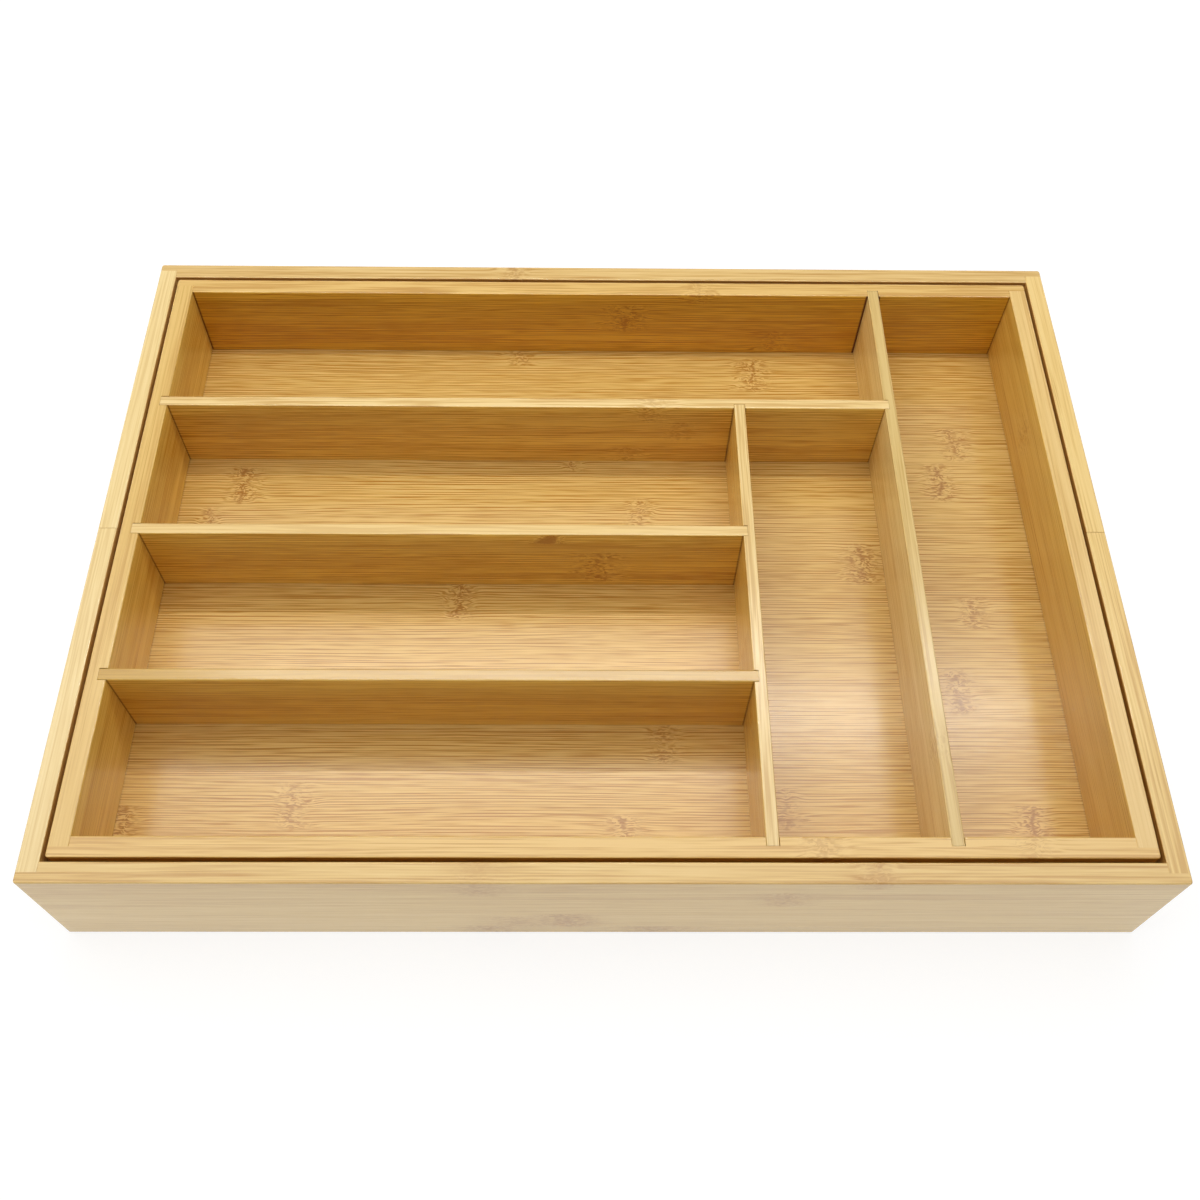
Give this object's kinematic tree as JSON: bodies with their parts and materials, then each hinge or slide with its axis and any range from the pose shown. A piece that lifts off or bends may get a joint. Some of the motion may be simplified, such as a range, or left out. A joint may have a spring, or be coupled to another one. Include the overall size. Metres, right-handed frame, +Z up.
{
  "type": "cutlery tray",
  "caption": "Extendable bamboo cutlery tray: a divided inner tray in a frame whose back and front halves pull apart on guides to open a further compartment at each end.",
  "frame": {"origin": "centre of the closed tray's footprint, on the surface that it stands on", "axes": "+X the long way, towards the two cross compartments; +Y towards the back half; +Z up"},
  "size_m": [0.43, 0.3, 0.065],
  "materials": {
    "wall_bamboo": "satin lacquered bamboo",
    "floor_bamboo": "satin lacquered bamboo board",
    "divider_bamboo": "satin lacquered bamboo",
    "guide_bamboo": "sanded bamboo"
  },
  "bodies": {
    "inner_tray": {"inner_back_wall": "wall_bamboo", "inner_front_wall": "wall_bamboo", "inner_left_wall": "wall_bamboo", "inner_right_wall": "wall_bamboo", "inner_floor": "floor_bamboo", "long_cross_divider": "divider_bamboo", "short_cross_divider": "divider_bamboo", "row_divider_1": "divider_bamboo", "row_divider_2": "divider_bamboo", "row_divider_3": "divider_bamboo", "guide_back_left": "guide_bamboo", "guide_back_right": "guide_bamboo", "guide_front_left": "guide_bamboo", "guide_front_right": "guide_bamboo"},
    "back_extension": {"back_wall": "wall_bamboo", "back_left_wall": "wall_bamboo", "back_right_wall": "wall_bamboo", "back_floor": "floor_bamboo"},
    "front_extension": {"front_wall": "wall_bamboo", "front_left_wall": "wall_bamboo", "front_right_wall": "wall_bamboo", "front_floor": "floor_bamboo"}
  },
  "joints": [
    {"name": "back_slide", "type": "slide", "parent": "inner_tray", "child": "back_extension", "axis": [0, 1, 0], "range_m": [0, 0.09]},
    {"name": "front_slide", "type": "slide", "parent": "inner_tray", "child": "front_extension", "axis": [0, -1, 0], "range_m": [0, 0.09]}
  ]
}
